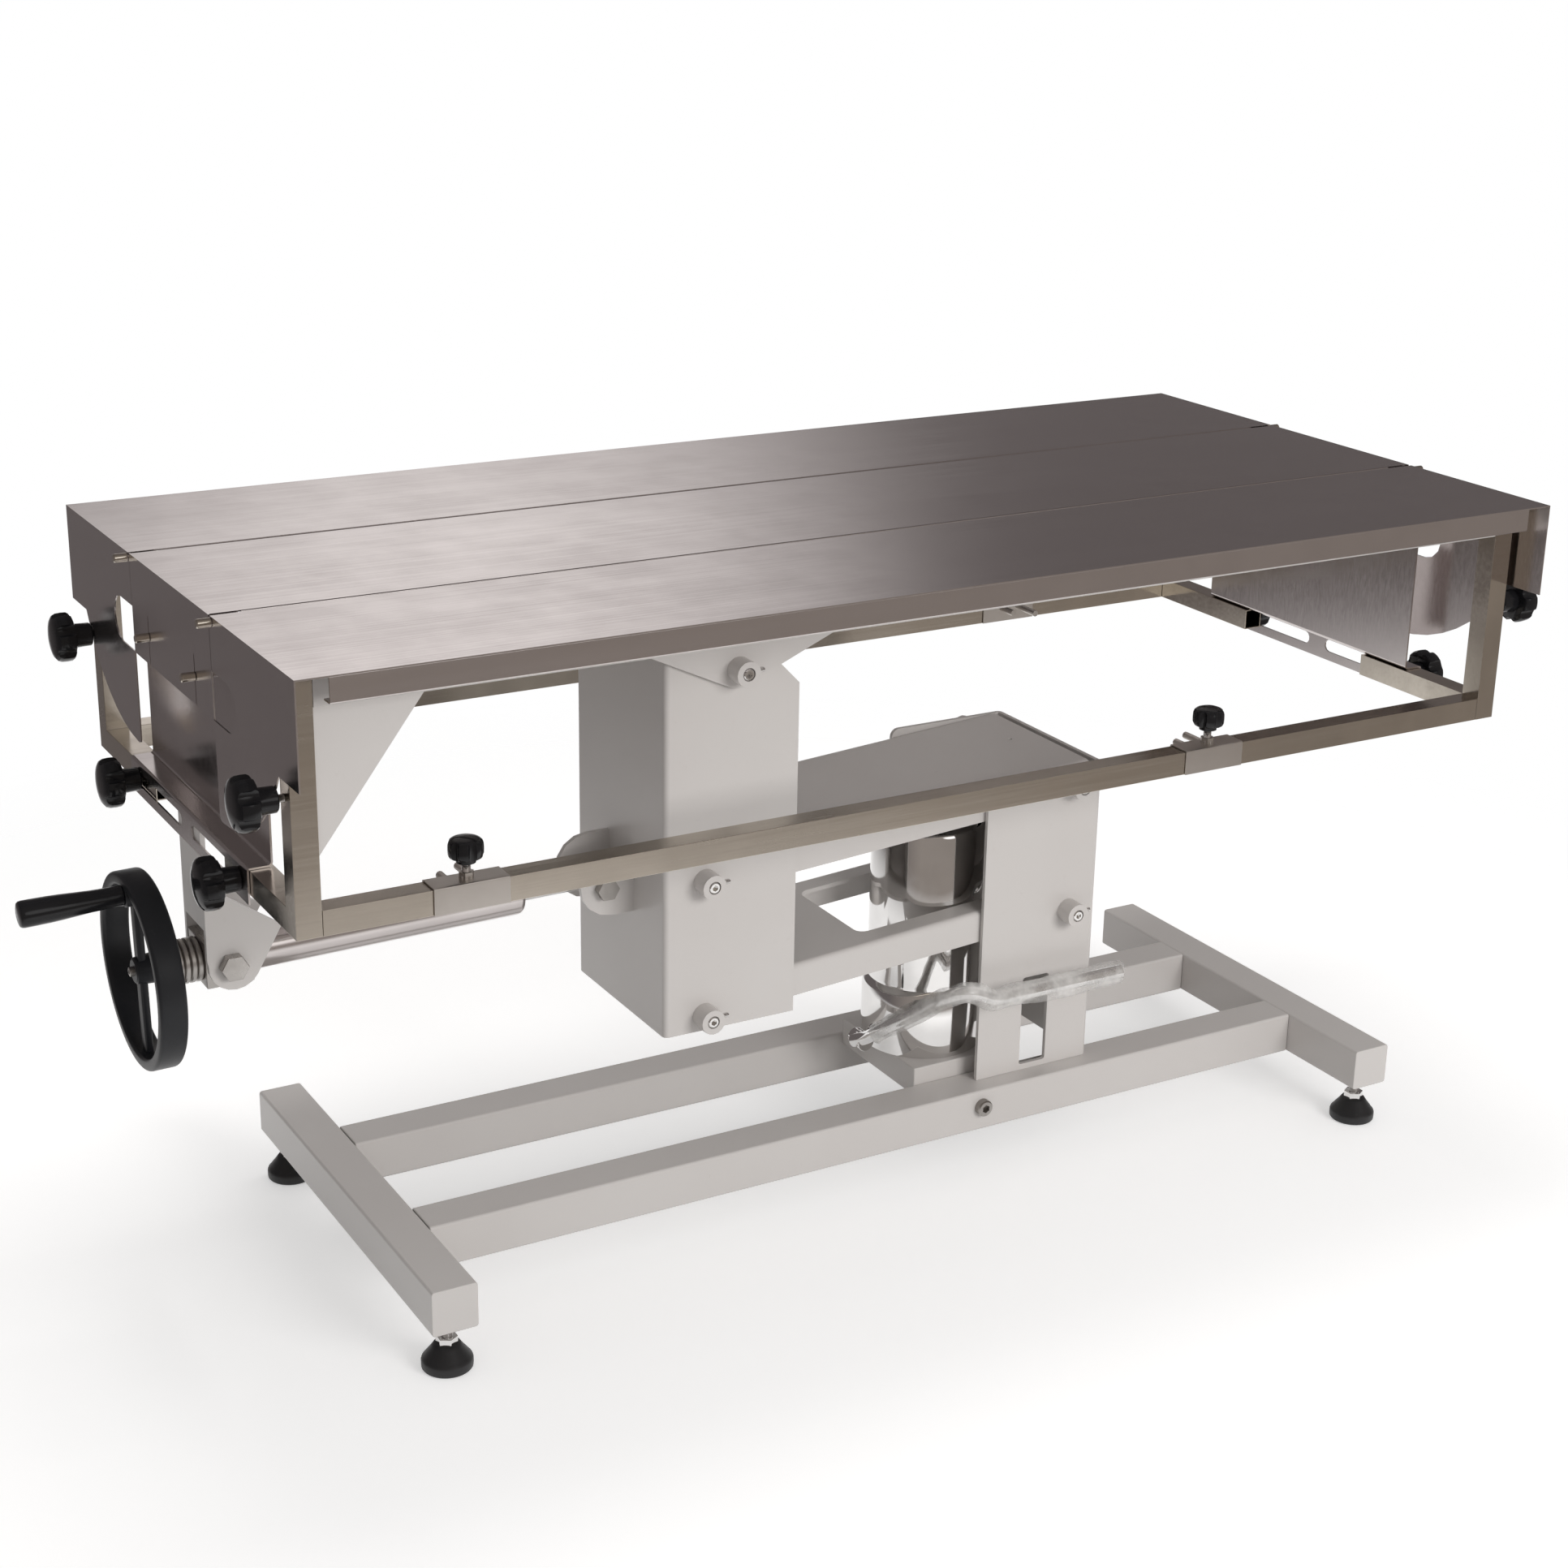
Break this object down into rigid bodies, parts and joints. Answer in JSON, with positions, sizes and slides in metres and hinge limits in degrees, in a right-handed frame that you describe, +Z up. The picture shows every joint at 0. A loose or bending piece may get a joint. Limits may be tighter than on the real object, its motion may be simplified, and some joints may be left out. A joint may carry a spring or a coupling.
{
  "type": "operating table",
  "caption": "Hydraulic operating table: stainless top in hinged panels on a stainless frame, raised by a foot pump and parallel arms, tilted by a handwheel screw.",
  "frame": {"origin": "middle of the overall box, on the floor", "axes": "+X along the top towards the pedestal end, away from the handwheel; +Y across the top, away from the side that the picture shows; +Z up"},
  "size_m": [1.6576, 0.7, 0.781],
  "materials": {
    "white_enamel": "white enamel, satin",
    "stainless_sheet": "brushed stainless sheet",
    "stainless_tube": "polished stainless tube",
    "polished_chrome": "polished chrome",
    "zinc_steel": "zinc-plated steel",
    "black_plastic": "black gloss plastic",
    "black_rubber": "matt black",
    "clear_film": "clear wrapping film"
  },
  "bodies": {
    "base": {"base_cross_left": "white_enamel", "base_cross_right": "white_enamel", "base_rail_near": "white_enamel", "base_rail_far": "white_enamel", "pump_tray": "white_enamel", "pedestal": "white_enamel", "pin_pedestal_upper": "polished_chrome", "pin_pedestal_lower": "polished_chrome", "pump_body": "polished_chrome"},
    "upper_arm": {"upper_arm": "white_enamel"},
    "lower_arm": {"lower_arm": "white_enamel"},
    "column": {"column": "white_enamel", "pin_column_upper": "polished_chrome", "pin_column_lower": "polished_chrome", "lug_bolt": "zinc_steel"},
    "ram": {"pump_ram": "polished_chrome"},
    "pedal": {"pedal_lever": "polished_chrome", "lever_film": "clear_film"},
    "table_frame": {"tilt_frame": "white_enamel", "pin_tilt": "polished_chrome", "leg_near_left": "stainless_tube", "leg_far_left": "stainless_tube", "leg_near_right": "stainless_tube", "leg_far_right": "stainless_tube", "rail_near": "stainless_tube", "rail_far": "stainless_tube", "beam_near": "white_enamel", "beam_far": "white_enamel", "cradle_left": "stainless_sheet", "cradle_right": "stainless_sheet", "clevis": "white_enamel", "clevis_bolt_near": "zinc_steel", "clevis_bolt_far": "zinc_steel"},
    "panel_near": {"panel_near": "stainless_sheet"},
    "panel_far": {"panel_far": "stainless_sheet"},
    "panel_middle": {"panel_middle": "stainless_sheet"},
    "screw_block": {"screw_block": "zinc_steel", "screw_tube": "stainless_sheet"},
    "screw_rod": {"screw_rod": "polished_chrome"},
    "handwheel": {"handwheel": "black_plastic"},
    "crank_handle": {"crank_handle": "black_plastic"},
    "foot_near_left": {"foot_near_left": "black_rubber"},
    "foot_far_left": {"foot_far_left": "black_rubber"},
    "foot_near_right": {"foot_near_right": "black_rubber"},
    "foot_far_right": {"foot_far_right": "black_rubber"},
    "knob_upper_near_left": {"knob_upper_near_left": "black_plastic"},
    "knob_upper_far_left": {"knob_upper_far_left": "black_plastic"},
    "knob_upper_near_right": {"knob_upper_near_right": "black_plastic"},
    "knob_upper_far_right": {"knob_upper_far_right": "black_plastic"},
    "knob_lower_near_left": {"knob_lower_near_left": "black_plastic"},
    "knob_lower_far_left": {"knob_lower_far_left": "black_plastic"},
    "knob_lower_near_right": {"knob_lower_near_right": "black_plastic"},
    "knob_lower_far_right": {"knob_lower_far_right": "black_plastic"},
    "sleeve_near_left": {"sleeve_near_left": "stainless_tube"},
    "sleeve_knob_near_left": {"sleeve_knob_near_left": "black_plastic"},
    "sleeve_near_right": {"sleeve_near_right": "stainless_tube"},
    "sleeve_knob_near_right": {"sleeve_knob_near_right": "black_plastic"},
    "sleeve_far": {"sleeve_far": "stainless_tube"},
    "sleeve_knob_far": {"sleeve_knob_far": "black_plastic"}
  },
  "joints": [
    {"name": "lift", "type": "hinge", "parent": "base", "child": "upper_arm", "pos_m": [0.34077, 0, 0.45], "axis": [0, 1, 0], "range_deg": [0, 34]},
    {"name": "lower_arm_swing", "type": "hinge", "parent": "base", "child": "lower_arm", "pos_m": [0.34077, 0, 0.295], "axis": [0, 1, 0], "range_deg": [0, 34]},
    {"name": "column_level", "type": "hinge", "parent": "upper_arm", "child": "column", "pos_m": [-0.13623, 0, 0.417], "axis": [0, 1, 0], "range_deg": [-34, 0]},
    {"name": "ram_rise", "type": "slide", "parent": "base", "child": "ram", "axis": [0, 0, 1], "range_m": [0, 0.0726]},
    {"name": "pedal_press", "type": "hinge", "parent": "base", "child": "pedal", "pos_m": [0.12977, 0, 0.132], "axis": [0, 1, 0], "range_deg": [0, 16], "stiffness_Nm_per_rad": 4, "springref_deg": -20.05},
    {"name": "tilt", "type": "hinge", "parent": "column", "child": "table_frame", "pos_m": [-0.10223, 0, 0.649], "axis": [0, 1, 0], "range_deg": [-8, 10]},
    {"name": "block_swing", "type": "hinge", "parent": "table_frame", "child": "screw_block", "pos_m": [-0.63123, 0, 0.392], "axis": [0, 1, 0], "range_deg": [-4, 4]},
    {"name": "rod_swing", "type": "hinge", "parent": "column", "child": "screw_rod", "pos_m": [-0.21823, 0, 0.399], "axis": [0, 1, 0], "range_deg": [-12, 14]},
    {"name": "handwheel_turn", "type": "hinge", "parent": "screw_block", "child": "handwheel", "pos_m": [-0.63123, 0, 0.392], "axis": [0.9999, 0, 0.0169], "continuous": true},
    {"name": "crank_handle_turn", "type": "hinge", "parent": "handwheel", "child": "crank_handle", "pos_m": [-0.63262, 0, 0.47399], "axis": [0.9999, 0, 0.0169], "continuous": true},
    {"name": "panel_near_hinge", "type": "hinge", "parent": "table_frame", "child": "panel_near", "pos_m": [0.06177, -0.13, 0.7755], "axis": [-1, 0, 0], "range_deg": [0, 45]},
    {"name": "panel_far_hinge", "type": "hinge", "parent": "table_frame", "child": "panel_far", "pos_m": [0.06177, 0.13, 0.7755], "axis": [1, 0, 0], "range_deg": [0, 45]},
    {"name": "panel_middle_lift", "type": "slide", "parent": "table_frame", "child": "panel_middle", "axis": [0, 0, 1], "range_m": [0, 0.06]},
    {"name": "foot_near_left_turn", "type": "hinge", "parent": "base", "child": "foot_near_left", "pos_m": [-0.49363, -0.229, 0], "axis": [0, 0, 1], "continuous": true},
    {"name": "foot_far_left_turn", "type": "hinge", "parent": "base", "child": "foot_far_left", "pos_m": [-0.49363, 0.229, 0], "axis": [0, 0, 1], "continuous": true},
    {"name": "foot_near_right_turn", "type": "hinge", "parent": "base", "child": "foot_near_right", "pos_m": [0.69677, -0.229, 0], "axis": [0, 0, 1], "continuous": true},
    {"name": "foot_far_right_turn", "type": "hinge", "parent": "base", "child": "foot_far_right", "pos_m": [0.69677, 0.229, 0], "axis": [0, 0, 1], "continuous": true},
    {"name": "knob_upper_near_left_turn", "type": "hinge", "parent": "table_frame", "child": "knob_upper_near_left", "pos_m": [-0.66353, -0.288, 0.655], "axis": [-1, 0, 0], "continuous": true},
    {"name": "knob_upper_far_left_turn", "type": "hinge", "parent": "table_frame", "child": "knob_upper_far_left", "pos_m": [-0.66353, 0.288, 0.655], "axis": [-1, 0, 0], "continuous": true},
    {"name": "knob_upper_near_right_turn", "type": "hinge", "parent": "table_frame", "child": "knob_upper_near_right", "pos_m": [0.78707, -0.288, 0.655], "axis": [1, 0, 0], "continuous": true},
    {"name": "knob_upper_far_right_turn", "type": "hinge", "parent": "table_frame", "child": "knob_upper_far_right", "pos_m": [0.78707, 0.288, 0.655], "axis": [1, 0, 0], "continuous": true},
    {"name": "knob_lower_near_left_turn", "type": "hinge", "parent": "table_frame", "child": "knob_lower_near_left", "pos_m": [-0.65903, -0.157, 0.5335], "axis": [-1, 0, 0], "continuous": true},
    {"name": "knob_lower_far_left_turn", "type": "hinge", "parent": "table_frame", "child": "knob_lower_far_left", "pos_m": [-0.65903, 0.157, 0.5335], "axis": [-1, 0, 0], "continuous": true},
    {"name": "knob_lower_near_right_turn", "type": "hinge", "parent": "table_frame", "child": "knob_lower_near_right", "pos_m": [0.78257, -0.157, 0.5335], "axis": [1, 0, 0], "continuous": true},
    {"name": "knob_lower_far_right_turn", "type": "hinge", "parent": "table_frame", "child": "knob_lower_far_right", "pos_m": [0.78257, 0.157, 0.5335], "axis": [1, 0, 0], "continuous": true},
    {"name": "sleeve_near_left_slide", "type": "slide", "parent": "table_frame", "child": "sleeve_near_left", "axis": [1, 0, 0], "range_m": [-0.1, 0.35]},
    {"name": "sleeve_knob_near_left_turn", "type": "hinge", "parent": "sleeve_near_left", "child": "sleeve_knob_near_left", "pos_m": [-0.48673, -0.2925, 0.561], "axis": [0, 0, 1], "continuous": true},
    {"name": "sleeve_near_right_slide", "type": "slide", "parent": "table_frame", "child": "sleeve_near_right", "axis": [1, 0, 0], "range_m": [-0.35, 0.3]},
    {"name": "sleeve_knob_near_right_turn", "type": "hinge", "parent": "sleeve_near_right", "child": "sleeve_knob_near_right", "pos_m": [0.37427, -0.2925, 0.561], "axis": [0, 0, 1], "continuous": true},
    {"name": "sleeve_far_slide", "type": "slide", "parent": "table_frame", "child": "sleeve_far", "axis": [1, 0, 0], "range_m": [-0.95, 0.2]},
    {"name": "sleeve_knob_far_turn", "type": "hinge", "parent": "sleeve_far", "child": "sleeve_knob_far", "pos_m": [0.50727, 0.2925, 0.561], "axis": [0, 0, 1], "continuous": true}
  ],
  "couplings": [
    {"joint": "lower_arm_swing", "follows": "lift", "ratio": 1},
    {"joint": "column_level", "follows": "lift", "ratio": -1},
    {"joint": "ram_rise", "follows": "lift", "m_per_rad": 0.122},
    {"joint": "block_swing", "follows": "tilt", "ratio": 0.3015},
    {"joint": "rod_swing", "follows": "tilt", "ratio": 1.1744}
  ]
}
